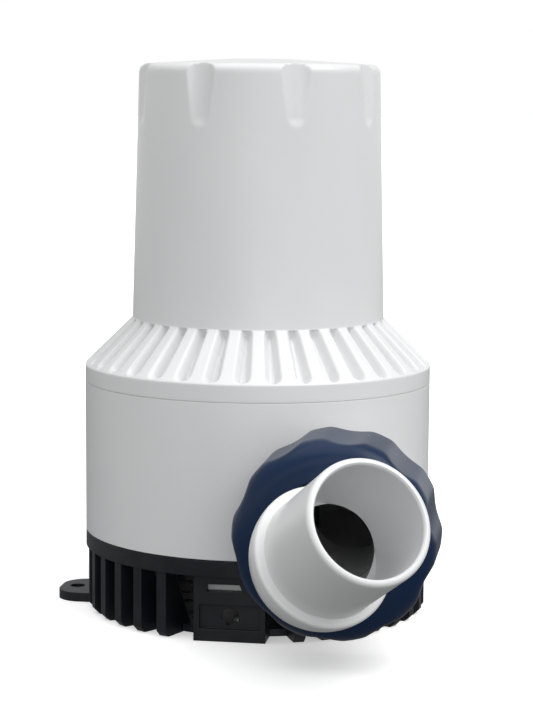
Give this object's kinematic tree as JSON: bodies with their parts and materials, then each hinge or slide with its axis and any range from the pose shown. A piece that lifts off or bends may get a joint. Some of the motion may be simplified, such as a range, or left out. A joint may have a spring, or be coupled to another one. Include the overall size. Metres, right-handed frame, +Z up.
{
  "type": "bilge pump",
  "caption": "Submersible centrifugal bilge pump with a finned strainer base, a ribbed motor housing and an angled hose tail held by a union nut.",
  "frame": {"origin": "on the pump's axis at the underside of the strainer base", "axes": "+Z up along the pump's axis; the discharge port points along -Y, beside the axis"},
  "size_m": [0.1462, 0.227, 0.1969],
  "materials": {
    "white_plastic": "semi-gloss moulded",
    "black_plastic": "satin moulded",
    "blue_plastic": "satin moulded",
    "rubber": "matt",
    "stainless": "turned",
    "can_steel": "zinc plated",
    "ferrite": "sintered",
    "laminations": "stacked sheet",
    "copper": "enamelled wire",
    "brass": "pressed",
    "carbon": "sintered",
    "bell_alloy": "die cast",
    "impeller_plastic": "moulded"
  },
  "bodies": {
    "base": {"strainer_base": "black_plastic"},
    "head": {"pump_body": "white_plastic", "motor_housing": "white_plastic", "motor_plate": "white_plastic", "motor_screws": "stainless", "shaft_seal": "rubber", "port_gasket": "rubber", "housing_o_ring": "rubber", "motor_can": "can_steel", "magnets": "ferrite", "lower_end_bell": "bell_alloy", "upper_end_bell": "bell_alloy", "lower_bearing": "stainless", "upper_bearing": "stainless", "brushes": "carbon", "brush_holders": "brass", "brush_springs": "stainless", "brush_terminals": "brass", "cable_gland": "rubber"},
    "rotor": {"motor_shaft": "stainless", "impeller": "impeller_plastic", "impeller_nut": "stainless", "armature_core": "laminations", "windings": "copper", "commutator": "copper"},
    "nut": {"discharge_nut": "blue_plastic"},
    "tail": {"hose_tail": "white_plastic"}
  },
  "joints": [
    {"name": "head_lift", "type": "slide", "parent": "base", "child": "head", "axis": [0, 0, 1], "range_m": [0, 0.045]},
    {"name": "rotor_spin", "type": "hinge", "parent": "head", "child": "rotor", "pos_m": [0, 0, 0.1], "axis": [0, 0, -1], "continuous": true},
    {"name": "nut_turn", "type": "hinge", "parent": "head", "child": "nut", "pos_m": [0.039, -0.08, 0.0434], "axis": [0, -1, 0], "continuous": true},
    {"name": "tail_swivel", "type": "hinge", "parent": "head", "child": "tail", "pos_m": [0.039, -0.09, 0.0434], "axis": [0, -1, 0], "continuous": true}
  ]
}
